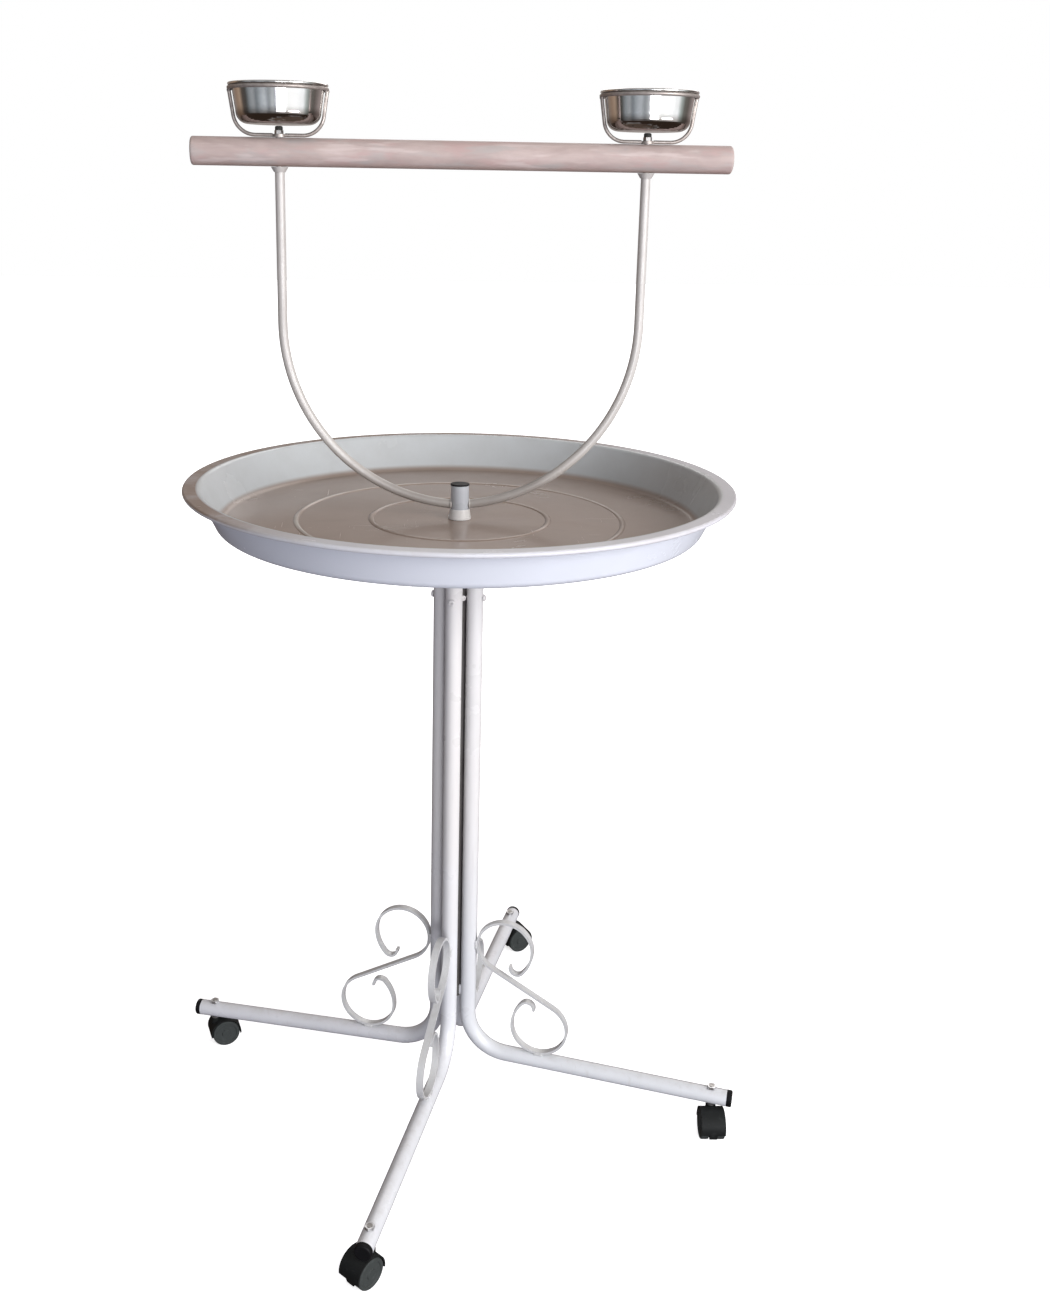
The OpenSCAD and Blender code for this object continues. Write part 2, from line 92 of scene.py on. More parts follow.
# ---------------------------------------------------------------- node helpers
class Shade:
    """A node material, built with short calls. Every pattern is in the object's own coordinates, in metres."""

    def __init__(self, name):
        self.mat = bpy.data.materials.new(name)
        self.mat.use_nodes = True
        self.tree = self.mat.node_tree
        self.tree.nodes.clear()
        self.out = self.add("ShaderNodeOutputMaterial")
        self.bsdf = self.add("ShaderNodeBsdfPrincipled")
        self.tree.links.new(self.bsdf.outputs[0], self.out.inputs["Surface"])
        self.coord = self.add("ShaderNodeTexCoord").outputs["Object"]
        self.bumped = None

    def add(self, kind, **values):
        node = self.tree.nodes.new(kind)
        for key, value in values.items():
            setattr(node, key, value)
        return node

    def put(self, socket, value):
        if isinstance(value, bpy.types.NodeSocket):
            self.tree.links.new(value, socket)
        elif isinstance(value, (tuple, list)) and len(value) == 3 and socket.type == "RGBA":
            socket.default_value = (*value, 1.0)
        else:
            socket.default_value = value

    def maths(self, what, a, b=0.0, c=0.0, clamp=False):
        node = self.add("ShaderNodeMath", operation=what, use_clamp=clamp)
        self.put(node.inputs[0], a)
        self.put(node.inputs[1], b)
        self.put(node.inputs[2], c)
        return node.outputs[0]

    def place(self, offset=(0, 0, 0), scale=(1, 1, 1), turned=(0, 0, 0)):
        node = self.add("ShaderNodeMapping", vector_type="POINT")
        self.put(node.inputs["Vector"], self.coord)
        node.inputs["Location"].default_value = offset
        node.inputs["Rotation"].default_value = turned
        node.inputs["Scale"].default_value = scale
        return node.outputs[0]

    def noise(self, scale, detail=3.0, rough=0.55, vector=None, twist=0.0):
        node = self.add("ShaderNodeTexNoise")
        self.put(node.inputs["Vector"], vector or self.coord)
        node.inputs["Scale"].default_value = scale
        node.inputs["Detail"].default_value = detail
        node.inputs["Roughness"].default_value = rough
        node.inputs["Distortion"].default_value = twist
        return node.outputs[0]

    def cells(self, scale, vector=None, feature="F1"):
        node = self.add("ShaderNodeTexVoronoi", feature=feature)
        self.put(node.inputs["Vector"], vector or self.coord)
        node.inputs["Scale"].default_value = scale
        return node.outputs["Distance"]

    def span(self, value, low, high, to_low=0.0, to_high=1.0):
        node = self.add("ShaderNodeMapRange", interpolation_type="SMOOTHSTEP")
        self.put(node.inputs["Value"], value)
        for key, v in (("From Min", low), ("From Max", high), ("To Min", to_low), ("To Max", to_high)):
            node.inputs[key].default_value = v
        return node.outputs[0]

    def mix(self, share, a, b, how="MIX"):
        node = self.add("ShaderNodeMix", data_type="RGBA", blend_type=how)
        self.put(node.inputs[0], share)
        self.put(node.inputs[6], a)
        self.put(node.inputs[7], b)
        return node.outputs[2]

    def ramp(self, value, *stops):
        node = self.add("ShaderNodeValToRGB")
        self.put(node.inputs[0], value)
        elements = node.color_ramp.elements
        while len(elements) < len(stops):
            elements.new(0.5)
        for element, (at, colour) in zip(elements, stops):
            element.position = at
            element.color = (*colour, 1.0)
        return node.outputs[0]

    def axes(self, vector=None):
        node = self.add("ShaderNodeSeparateXYZ")
        self.put(node.inputs[0], vector or self.coord)
        return node.outputs

    def bump(self, height, strength, distance):
        node = self.add("ShaderNodeBump")
        self.put(node.inputs["Height"], height)
        node.inputs["Strength"].default_value = strength
        node.inputs["Distance"].default_value = distance
        if self.bumped:
            self.put(node.inputs["Normal"], self.bumped)
        self.bumped = node.outputs[0]

    def done(self, colour, roughness, **fixed):
        self.put(self.bsdf.inputs["Base Color"], colour)
        self.put(self.bsdf.inputs["Roughness"], roughness)
        if self.bumped:
            self.put(self.bsdf.inputs["Normal"], self.bumped)
        for key, value in fixed.items():
            self.bsdf.inputs[key.replace("_", " ")].default_value = value
        return self.mat


def paint(name, light, dark, grime, peel=0.35, rough=(0.24, 0.4), shaded_foot=None, aged=None):
    """Powder coat on steel: orange peel, soft mottling, dust that settles on top, small chips and specks."""
    s = Shade(name)
    broad = s.noise(14.0, 4.0, 0.6)
    fine = s.noise(620.0, 2.0, 0.5)
    grain = s.noise(2600.0, 2.0, 0.6)
    colour = s.mix(s.span(broad, 0.35, 0.68), light, dark)
    if aged:
        # yellowed a little towards the top, where hands reach
        height = s.maths("ADD", s.axes()[2], s.maths("MULTIPLY", s.maths("SUBTRACT", broad, 0.5), 0.25))
        colour = s.mix(s.span(height, 0.12, 0.42), colour, aged)
    streak = s.noise(1.0, 4.0, 0.6, s.place(scale=(160.0, 160.0, 9.0)))
    colour = s.mix(s.span(streak, 0.56, 0.8, 0.0, 0.35), colour, grime)
    normal = s.add("ShaderNodeNewGeometry").outputs["Normal"]
    up = s.axes(normal)[2]
    dust = s.maths("MULTIPLY", s.span(up, 0.35, 1.0), s.span(s.noise(90.0, 5.0, 0.7), 0.42, 0.7, 0.0, 0.35))
    colour = s.mix(dust, colour, grime)
    specks = s.maths("MULTIPLY", s.span(s.cells(210.0), 0.045, 0.075, 1.0, 0.0), s.span(s.noise(35.0, 2.0), 0.55, 0.66))
    colour = s.mix(s.maths("MULTIPLY", specks, 0.55), colour, (0.16, 0.135, 0.12))
    if shaded_foot:
        # painted shade and painted reflection of the tray: darker towards the tray
        low = s.span(s.axes()[2], shaded_foot + 0.055, shaded_foot, 0.0, 0.62)
        colour = s.mix(s.maths("MULTIPLY", low, s.span(broad, 0.3, 0.6, 0.75, 1.0)), colour, (0.20, 0.17, 0.155))
    s.bump(fine, peel, 0.00022)
    s.bump(grain, 0.12, 0.00006)
    s.bump(specks, 0.4, -0.0001)
    rough_mix = s.maths("ADD", s.span(broad, 0.3, 0.7, rough[0], rough[1]), s.maths("MULTIPLY", dust, 0.5))
    return s.done(colour, rough_mix, IOR=1.5, Coat_Weight=0.25, Coat_Roughness=0.16)


def tray_plastic():
    """Moulded tray: satin lavender-white skin, painted shade on the inside wall, a brown floor tone of painted
    reflection and shade with stains, ring tops with a painted highlight, faint claw and wipe marks.
    """
    s = Shade("tray_plastic")
    x, y, z = s.axes()
    radius = s.maths("SQRT", s.maths("ADD", s.maths("MULTIPLY", x, x), s.maths("MULTIPLY", y, y)))
    angle = s.maths("ARCTAN2", y, x)
    broad = s.noise(6.0, 4.0, 0.55)
    skin = s.mix(s.span(broad, 0.35, 0.68), (0.635, 0.655, 0.715), (0.615, 0.635, 0.69))
    inside = s.maths("MULTIPLY", s.span(z, TRAY_Z + 0.0017, TRAY_Z + 0.0024), s.span(radius, 0.2885, 0.2865))
    nx, ny, nz = s.axes(s.add("ShaderNodeNewGeometry").outputs["Normal"])
    outwards = s.maths("DIVIDE", s.maths("ADD", s.maths("MULTIPLY", nx, x), s.maths("MULTIPLY", ny, y)), s.maths("MAXIMUM", radius, 0.02))
    outer_skin = s.maths("MULTIPLY", s.span(outwards, 0.1, 0.3), s.span(radius, 0.235, 0.245))
    inside = s.maths("MULTIPLY", inside, s.maths("SUBTRACT", 1.0, outer_skin))
    # painted shade: the inside wall gets a darker, greyer colour than the same plastic outside
    wall = s.mix(s.span(s.noise(22.0, 5.0, 0.65), 0.35, 0.7), (0.50, 0.52, 0.535), (0.475, 0.49, 0.50))
    skin = s.mix(inside, skin, wall)
    # painted reflection and shade: a brown tone with blotches and stains lies on the flat floor and fades up the corner
    floor_reflection_and_stain_here = s.maths("MULTIPLY", inside, s.span(z, TRAY_Z + 0.0105, TRAY_Z + 0.0037))
    blotch = s.noise(11.0, 6.0, 0.6, twist=0.6)
    floor_reflection_and_stain = s.ramp(blotch, (0.30, (0.305, 0.232, 0.190)), (0.52, (0.28, 0.208, 0.167)), (0.72, (0.245, 0.180, 0.145)))
    stain = s.span(s.noise(5.0, 5.0, 0.6, s.place(offset=(4.0, 1.0, 0.0))), 0.5, 0.68, 0.0, 0.5)
    floor_reflection_and_stain = s.mix(stain, floor_reflection_and_stain, (0.255, 0.19, 0.155))
    # painted shade: darker still near the corner with the side
    floor_reflection_and_stain = s.mix(s.span(radius, 0.24, 0.264, 0.0, 0.14), floor_reflection_and_stain, (0.225, 0.185, 0.16))
    colour = s.mix(s.maths("MULTIPLY", floor_reflection_and_stain_here, 0.94), skin, floor_reflection_and_stain)
    # painted highlight: ring tops lighter here and there, mostly the outer ring's left side
    top = s.maths("MULTIPLY", s.span(z, TRAY_Z + 0.00335, TRAY_Z + 0.0041), s.span(radius, 0.2, 0.19))
    uneven = s.maths("MULTIPLY", s.span(s.noise(17.0, 3.0), 0.32, 0.66, 0.15, 0.9), s.span(x, 0.10, -0.13, 0.35, 1.0))
    uneven = s.maths("MULTIPLY", uneven, s.span(radius, 0.11, 0.15, 0.15, 1.0))
    colour = s.mix(s.maths("MULTIPLY", top, uneven), colour, (0.46, 0.42, 0.385))
    # long fine scratches, round and across, only on the floor's brown tone
    polar = s.add("ShaderNodeCombineXYZ")
    s.put(polar.inputs[0], s.maths("MULTIPLY", radius, 900.0))
    s.put(polar.inputs[1], s.maths("MULTIPLY", angle, 1.6))
    round_marks = s.noise(1.0, 2.0, 0.5, polar.outputs[0])
    across_a = s.noise(1.0, 2.0, 0.5, s.place(scale=(900.0, 12.0, 30.0), turned=(0, 0, 0.5)))
    across_b = s.noise(1.0, 2.0, 0.5, s.place(scale=(14.0, 800.0, 30.0), turned=(0, 0, -0.35)))
    marks = s.maths("MAXIMUM", s.span(across_a, 0.70, 0.76), s.span(across_b, 0.70, 0.76))
    marks = s.maths("MAXIMUM", marks, s.span(round_marks, 0.72, 0.78))
    marks = s.maths("MULTIPLY", s.maths("MULTIPLY", marks, floor_reflection_and_stain_here), s.span(s.noise(8.0, 2.0), 0.5, 0.66))
    colour = s.mix(s.maths("MULTIPLY", marks, 0.06), colour, (0.40, 0.35, 0.31))
    specks = s.maths("MULTIPLY", s.span(s.cells(95.0), 0.03, 0.05, 1.0, 0.0), s.span(s.noise(21.0, 2.0), 0.56, 0.64))
    colour = s.mix(s.maths("MULTIPLY", specks, 0.13), colour, (0.17, 0.14, 0.12))
    # painted shade: the flat rim and its outer roll darker than the skin; brown on the flat rim, to the left and at the
    # back, and brown wear on the rim's outer roll
    flat_rim = s.maths("MULTIPLY", s.span(radius, 0.2845, 0.2865), s.span(z, TRAY_Z + 0.0425, TRAY_Z + 0.0438))
    colour = s.mix(s.span(radius, 0.2845, 0.2865, 0.0, 0.9), colour, (0.57, 0.565, 0.60))
    back_left = s.span(s.maths("SUBTRACT", s.maths("MULTIPLY", y, 0.9), x), -0.12, 0.16)
    worn = s.maths("MULTIPLY", s.maths("MULTIPLY", flat_rim, back_left), s.span(s.noise(18.0, 5.0, 0.65), 0.3, 0.62, 0.55, 0.95))
    colour = s.mix(worn, colour, (0.245, 0.175, 0.135))
    rim = s.maths("MULTIPLY", s.span(radius, 0.2962, 0.2994), s.span(s.noise(24.0, 5.0, 0.7), 0.40, 0.68, 0.0, 0.6))
    colour = s.mix(s.maths("MULTIPLY", rim, 0.35), colour, (0.42, 0.345, 0.29))
    s.bump(s.noise(900.0, 1.0, 0.4), 0.03, 0.00006)
    s.bump(s.noise(14.0, 1.0, 0.4), 0.05, 0.0004)
    rough = s.maths("ADD", s.span(blotch, 0.3, 0.7, 0.20, 0.28), s.maths("MULTIPLY", marks, 0.06))
    return s.done(colour, rough, IOR=1.45, Specular_IOR_Level=0.4)


def wood():
    """Turned hardwood dowel, weathered pale: growth rings about a pith off to one side, soft pinkish and greenish clouds."""
    s = Shade("perch_wood")
    x, y, z = s.axes(s.place(offset=(0.0, -0.021, 0.026 - PERCH_Z)))
    sway = s.noise(1.0, 3.0, 0.5, s.place(scale=(3.2, 18.0, 18.0)))
    wander = s.noise(1.0, 2.0, 0.5, s.place(scale=(1.5, 4.0, 4.0)))
    dist = s.maths("SQRT", s.maths("ADD", s.maths("MULTIPLY", y, y), s.maths("MULTIPLY", z, z)))
    dist = s.maths("ADD", dist, s.maths("MULTIPLY", s.maths("SUBTRACT", sway, 0.5), 0.009))
    dist = s.maths("ADD", dist, s.maths("MULTIPLY", s.maths("SUBTRACT", wander, 0.5), 0.014))
    ring = s.maths("FRACT", s.maths("MULTIPLY", dist, 260.0))
    late = s.maths("MULTIPLY", s.span(ring, 0.35, 0.93), s.span(ring, 0.93, 1.0, 1.0, 0.0))
    late = s.maths("MULTIPLY", late, s.span(s.noise(1.0, 3.0, 0.6, s.place(scale=(9.0, 60.0, 60.0))), 0.38, 0.62))
    fibre = s.noise(1.0, 4.0, 0.6, s.place(scale=(16.0, 700.0, 700.0)))
    broad = s.noise(1.0, 4.0, 0.6, s.place(scale=(16.0, 50.0, 50.0)), 0.4)
    colour = s.ramp(broad, (0.30, (0.50, 0.405, 0.385)), (0.5, (0.435, 0.345, 0.325)), (0.72, (0.36, 0.28, 0.265)))
    pink = s.noise(1.0, 3.0, 0.55, s.place(offset=(1.0, 0.3, 0.0), scale=(22.0, 75.0, 75.0)))
    colour = s.mix(s.span(pink, 0.50, 0.66, 0.0, 0.7), colour, (0.45, 0.315, 0.30))
    green = s.noise(1.0, 3.0, 0.55, s.place(offset=(7.0, 0.9, 0.4), scale=(19.0, 65.0, 65.0)))
    colour = s.mix(s.span(green, 0.50, 0.66, 0.0, 0.65), colour, (0.385, 0.355, 0.345))
    colour = s.mix(s.maths("MULTIPLY", late, 0.16), colour, (0.42, 0.32, 0.27))
    colour = s.mix(s.span(fibre, 0.52, 0.76, 0.0, 0.14), colour, (0.40, 0.31, 0.265))
    pale = s.noise(1.0, 3.0, 0.5, s.place(offset=(3.0, 0.0, 0.0), scale=(20.0, 140.0, 140.0)))
    colour = s.mix(s.span(pale, 0.54, 0.70, 0.0, 0.5), colour, (0.60, 0.51, 0.49))
    pores = s.span(s.noise(1.0, 1.0, 0.4, s.place(scale=(70.0, 2300.0, 2300.0))), 0.67, 0.75)
    colour = s.mix(s.maths("MULTIPLY", pores, 0.3), colour, (0.30, 0.215, 0.18))
    # painted shade on the underside, and cut ends that drink more and look darker
    underside_shade = s.span(z, 0.0165, 0.0125)
    colour = s.mix(s.maths("MULTIPLY", underside_shade, 0.45), colour, (0.40, 0.27, 0.225))
    end = s.span(s.maths("ABSOLUTE", x), 0.2785, 0.2797)
    colour = s.mix(s.maths("MULTIPLY", end, 0.35), colour, (0.46, 0.37, 0.32))
    s.bump(fibre, 0.18, 0.0002)
    s.bump(pores, 0.4, -0.00012)
    s.bump(late, 0.12, 0.0001)
    return s.done(colour, s.span(fibre, 0.3, 0.7, 0.50, 0.66), IOR=1.42)


def polished(name, centre_x, foot_z):
    """Spun stainless steel: near mirror, with fine lines round the cup's axis and a soft dent or two."""
    s = Shade(name)
    x, y, z = s.axes(s.place(offset=(-centre_x, 0.0, 0.0)))
    radius = s.maths("SQRT", s.maths("ADD", s.maths("MULTIPLY", x, x), s.maths("MULTIPLY", y, y)))
    run = s.maths("ADD", s.maths("MULTIPLY", radius, 1300.0), s.maths("MULTIPLY", z, 1700.0))
    vector = s.add("ShaderNodeCombineXYZ")
    s.put(vector.inputs[0], run)
    s.put(vector.inputs[1], s.maths("MULTIPLY", s.maths("ARCTAN2", y, x), 0.7))
    lines = s.noise(1.0, 3.0, 0.6, vector.outputs[0])
    smear = s.noise(38.0, 4.0, 0.6)
    tint = s.mix(s.span(smear, 0.35, 0.7), (0.80, 0.80, 0.79), (0.70, 0.695, 0.68))
    tint = s.mix(s.span(lines, 0.5, 0.75, 0.0, 0.18), tint, (0.50, 0.49, 0.48))
    # painted reflection: darker brown towards the cup's bottom, for the dark surroundings it mirrors
    dark_band_height = s.maths("ADD", z, s.maths("MULTIPLY", s.maths("SUBTRACT", smear, 0.5), 0.004))
    tint = s.mix(s.span(dark_band_height, foot_z + 0.0175, foot_z + 0.0085, 0.0, 0.76), tint, (0.17, 0.135, 0.115))
    s.bump(lines, 0.06, 0.00004)
    s.bump(s.noise(26.0, 2.0, 0.5), 0.10, 0.0012)
    rough = s.maths("ADD", s.span(lines, 0.35, 0.7, 0.055, 0.12), s.span(smear, 0.4, 0.75, 0.0, 0.07))
    return s.done(tint, rough, Metallic=1.0, Anisotropic=0.35)


def plated(name, light, dark):
    """Nickel-plated wire and fasteners: soft sheen, drawn lines, faint tarnish."""
    s = Shade(name)
    tarnish = s.noise(110.0, 5.0, 0.65)
    tint = s.mix(s.span(tarnish, 0.38, 0.7), light, dark)
    spots = s.span(s.noise(520.0, 3.0, 0.6), 0.64, 0.74)
    tint = s.mix(s.maths("MULTIPLY", spots, 0.5), tint, (0.27, 0.245, 0.225))
    s.bump(s.noise(1500.0, 2.0, 0.6), 0.15, 0.00005)
    s.bump(tarnish, 0.12, 0.0001)
    return s.done(tint, s.span(tarnish, 0.3, 0.7, 0.30, 0.48), Metallic=0.9)


def wire():
    """Dull drawn wire: brownish grey with a soft sheen, smudged where the cup rubs."""
    s = Shade("dull_wire")
    smudge = s.noise(150.0, 4.0, 0.6)
    tint = s.mix(s.span(smudge, 0.36, 0.68), (0.42, 0.375, 0.35), (0.31, 0.27, 0.25))
    drawn = s.noise(1.0, 2.0, 0.5, s.place(scale=(900.0, 900.0, 60.0)))
    tint = s.mix(s.span(drawn, 0.55, 0.75, 0.0, 0.3), tint, (0.20, 0.17, 0.155))
    s.bump(drawn, 0.12, 0.00005)
    s.bump(smudge, 0.10, 0.0001)
    return s.done(tint, s.span(smudge, 0.3, 0.7, 0.34, 0.5), Metallic=0.55)


def moulded(name, base, worn, rough, grain):
    """Injection-moulded black plastic: eroded texture, dust in patches and on upward faces, pale scuffs."""
    s = Shade(name)
    texture = s.noise(grain, 3.0, 0.6)
    dust = s.noise(130.0, 5.0, 0.7)
    normal = s.add("ShaderNodeNewGeometry").outputs["Normal"]
    up = s.span(s.axes(normal)[2], 0.2, 1.0)
    share = s.maths("ADD", s.span(dust, 0.52, 0.78, 0.0, 0.35), s.maths("MULTIPLY", up, 0.12))
    colour = s.mix(share, base, worn)
    scuff = s.noise(1.0, 3.0, 0.6, s.place(scale=(240.0, 60.0, 700.0), turned=(0.3, 0.2, 0.6)))
    scuffs = s.span(scuff, 0.66, 0.74)
    colour = s.mix(s.maths("MULTIPLY", scuffs, 0.22), colour, (0.07, 0.072, 0.07))
    s.bump(texture, 0.30, 0.00012)
    s.bump(scuffs, 0.2, -0.00008)
    return s.done(colour, s.maths("ADD", s.span(dust, 0.3, 0.7, rough, rough + 0.14), s.maths("MULTIPLY", scuffs, 0.1)), IOR=1.4, Specular_IOR_Level=0.14)


white = paint("white_powder_coat", (0.69, 0.695, 0.72), (0.65, 0.655, 0.685), (0.50, 0.48, 0.465), aged=(0.675, 0.655, 0.645))
# painted shade: the left and right leg tubes get a darker paint below the aged top, for the shade they stand in
left_white_painted_shade = paint("white_powder_coat_left_painted_shade", (0.59, 0.59, 0.62), (0.56, 0.56, 0.59), (0.45, 0.43, 0.415), aged=(0.675, 0.655, 0.645))
right_white_painted_shade = paint("white_powder_coat_right_painted_shade", (0.635, 0.645, 0.67), (0.605, 0.615, 0.64), (0.47, 0.455, 0.44), aged=(0.665, 0.65, 0.645))
warm = paint("warm_grey_powder_coat", (0.49, 0.465, 0.445), (0.45, 0.425, 0.405), (0.34, 0.30, 0.27), peel=0.3)
rod_mat = paint("rod_powder_coat", (0.49, 0.465, 0.445), (0.45, 0.425, 0.405), (0.34, 0.30, 0.27), peel=0.3, shaded_foot=TRAY_Z + 0.035)
grey = paint("scroll_powder_coat", (0.56, 0.56, 0.56), (0.50, 0.50, 0.505), (0.38, 0.36, 0.345), peel=0.3)
post_mat = paint("post_powder_coat", (0.46, 0.475, 0.51), (0.41, 0.425, 0.455), (0.30, 0.28, 0.27), peel=0.3)
# painted shade: the centre tube is near black so the gap between the column tubes reads as shaded
centre_tube_shade_mat = paint("dark_centre_tube_painted_shade", (0.085, 0.08, 0.078), (0.055, 0.05, 0.048), (0.12, 0.10, 0.085), peel=0.2, rough=(0.4, 0.6))
tray_mat = tray_plastic()
wood_mat = wood()
rod_x = (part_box("feed_cup_right")[0].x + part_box("feed_cup_right")[1].x) / 2
cup_right_mat = polished("cup_steel_right", rod_x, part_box("feed_cup_right")[0].z)
cup_left_mat = polished("cup_steel_left", -rod_x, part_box("feed_cup_left")[0].z)
plated_mat = plated("plated_steel", (0.37, 0.36, 0.35), (0.28, 0.265, 0.255))
nut_mat = plated("plated_nuts", (0.66, 0.66, 0.67), (0.52, 0.52, 0.53))
wire_mat = wire()
cap_mat = moulded("black_cap_plastic", (0.007, 0.007, 0.008), (0.028, 0.027, 0.026), 0.42, 1900.0)
stud_cap_mat = moulded("grey_stud_cap", (0.050, 0.050, 0.046), (0.11, 0.11, 0.10), 0.5, 1900.0)
hood_mat = moulded("black_hood_plastic", (0.012, 0.013, 0.013), (0.045, 0.048, 0.048), 0.42, 1500.0)
wheel_mat = moulded("black_wheel_plastic", (0.044, 0.049, 0.048), (0.10, 0.107, 0.105), 0.46, 1100.0)

LOOKS = {
    "leg_tube": white, "leg_tube_left": left_white_painted_shade, "leg_tube_right": right_white_painted_shade, "scroll": grey, "leg_end_caps": cap_mat, "centre_tube": centre_tube_shade_mat, "tray_support": white,
    "column_screws": white, "post_set_screw": white, "tray_collar": white, "post_tube": post_mat, "post_cap": cap_mat,
    "u_rod": rod_mat, "perch_stop_collars": warm, "cup_ring": wire_mat, "cup_bracket": wire_mat,
    "feed_cup_left": cup_left_mat, "feed_cup_right": cup_right_mat, "holder_nuts": plated_mat, "thread_caps": stud_cap_mat,
    "caster_nuts": nut_mat, "caster_stem": plated_mat, "caster_hood": hood_mat, "caster_axle": plated_mat,
    "caster_wheel": wheel_mat, "tray": tray_mat, "perch": wood_mat,
}


def look_of(name):
    """The look whose name is the longest start of the node's name."""
    fits = [k for k in LOOKS if name == k or name.startswith(k + "_") or name.startswith(k)]
    return LOOKS[max(fits, key=len)]


def smooth_normals(obj, angle=40.0):
    """Even shading over facets that meet at less than the angle. Only the shading normals change."""
    mesh = obj.data
    count = len(mesh.polygons)
    normals = np.zeros(count * 3)
    mesh.polygons.foreach_get("normal", normals)
    normals = normals.reshape(-1, 3)
    areas = np.zeros(count)
    mesh.polygons.foreach_get("area", areas)
    co = np.zeros(len(mesh.vertices) * 3)
    mesh.vertices.foreach_get("co", co)
    keys = np.round(co.reshape(-1, 3) * 2e5).astype(np.int64)
    _, same = np.unique(keys, axis=0, return_inverse=True)
    same = same.ravel()
    around = {}
    for p in mesh.polygons:
        for v in p.vertices:
            around.setdefault(int(same[v]), []).append(p.index)
    limit = math.cos(math.radians(angle))
    out = []
    for p in mesh.polygons:
        own = normals[p.index]
        for v in p.vertices:
            near = np.array(around[int(same[v])])
            keep = near[normals[near] @ own > limit]
            mean = (normals[keep] * areas[keep][:, None]).sum(0)
            out.append(mean / max(np.linalg.norm(mean), 1e-12))
    mesh.polygons.foreach_set("use_smooth", [True] * count)
    mesh.normals_split_custom_set(out)


for name, obj in nodes.items():
    obj.data.materials.clear()
    obj.data.materials.append(look_of(name))
    if name.startswith("scroll_"):
        smooth_normals(obj)


# ---------------------------------------------------------------- pieces made here
def piece(name, mesh, material, body):
    obj = bpy.data.objects.new(name, mesh)
    scene.collection.objects.link(obj)
    mesh.materials.append(material)
    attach(obj, body)
    return obj


def mesh_from(name, points, faces, smooth=True):
    mesh = bpy.data.meshes.new(name)
    mesh.from_pydata([tuple(p) for p in points], [], faces)
    mesh.validate()
    mesh.polygons.foreach_set("use_smooth", [smooth] * len(mesh.polygons))
    mesh.update()
    return mesh


# the perch: a turned dowel with rounded ends, a little out of true, with shallow grooves along the grain
def perch_mesh():
    low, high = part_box("perch")
    half, r = (high.x - low.x) / 2, (high.z - low.z) / 2
    cx, cy, cz = (low.x + high.x) / 2, (low.y + high.y) / 2, (low.z + high.z) / 2
    around, along, corner = 160, 150, 0.0025
    stations = []
    for k in range(7):
        a = math.radians(90 * k / 6)
        stations.append((-half + corner - corner * math.cos(a), r - corner + corner * math.sin(a)))
    for k in range(1, along):
        stations.append((-half + corner + (2 * half - 2 * corner) * k / along, r))
    for k in range(7):
        a = math.radians(90 * (6 - k) / 6)
        stations.append((half - corner + corner * math.cos(a), r - corner + corner * math.sin(a)))
    points, faces = [], []
    inner = [0.35, 0.7, 0.9]
    rings = [(stations[0][0], stations[0][1] * s, False) for s in inner]
    rings += [(x, rr, True) for x, rr in stations]
    rings += [(stations[-1][0], stations[-1][1] * s, False) for s in reversed(inner)]
    for x, rr, skin in rings:
        for j in range(around):
            a = 2 * math.pi * j / around
            y, z = math.cos(a), math.sin(a)
            if skin:
                soft = noise.noise(Vector((x * 5.0, y * 1.3, z * 1.3)))
                groove = noise.noise(Vector((x * 9.0, y * 26.0, z * 26.0)))
                d = -0.00010 - 0.00011 * abs(soft) - 0.00009 * max(0.0, groove)
            else:
                d = -0.0002
            points.append((cx + x, cy + (rr + d) * y, cz + (rr + d) * z))
    n = len(rings)
    for i in range(n - 1):
        for j in range(around):
            k = (j + 1) % around
            faces.append((i * around + j, i * around + k, (i + 1) * around + k, (i + 1) * around + j))
    points.append((cx + rings[0][0] + 0.0002, cy, cz))
    points.append((cx + rings[-1][0] - 0.0002, cy, cz))
    for j in range(around):
        k = (j + 1) % around
        faces.append((len(points) - 2, k, j))
        faces.append((len(points) - 1, (n - 1) * around + j, (n - 1) * around + k))
    return mesh_from("perch_dowel", points, faces)


perch = piece("perch_dowel", perch_mesh(), wood_mat, "perch_frame")
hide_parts("perch")


def bead(points, radius, seed, sides=10):
    """A weld bead along a line of points: a lumpy closed tube with round ends."""
    pts = [Vector(p) for p in points]
    steps, ring = [], []
    total = sum((b - a).length for a, b in zip(pts, pts[1:]))
    count = max(6, int(total / (radius * 0.45)))
    for k in range(count + 1):
        t = k / count * total
        for a, b in zip(pts, pts[1:]):
            d = (b - a).length
            if t <= d or b is pts[-1]:
                steps.append(a.lerp(b, min(1.0, t / d)))
                break
            t -= d
    verts, faces = [], []
    for k, p in enumerate(steps):
        ahead = (steps[min(k + 1, count)] - steps[max(k - 1, 0)]).normalized()
        side = ahead.orthogonal().normalized()
        other = ahead.cross(side)
        s = k / count * 2 - 1
        ripple = 1.0 + 0.10 * math.sin(k * 2.1 + seed)
        r = radius * math.sqrt(max(0.0, 1 - abs(s) ** 6)) * ripple
        for j in range(sides):
            a = 2 * math.pi * j / sides
            rr = r * (1 + 0.12 * noise.noise(Vector((k * 0.9, math.cos(a) * 1.5, seed + math.sin(a) * 1.5))))
            verts.append(p + side * (rr * math.cos(a)) + other * (rr * math.sin(a)))
    for k in range(count):
        for j in range(sides):
            m = (j + 1) % sides
            faces.append((k * sides + j, k * sides + m, (k + 1) * sides + m, (k + 1) * sides + j))
    faces.append(tuple(range(sides - 1, -1, -1)))
    faces.append(tuple(count * sides + j for j in range(sides)))
    return verts, faces


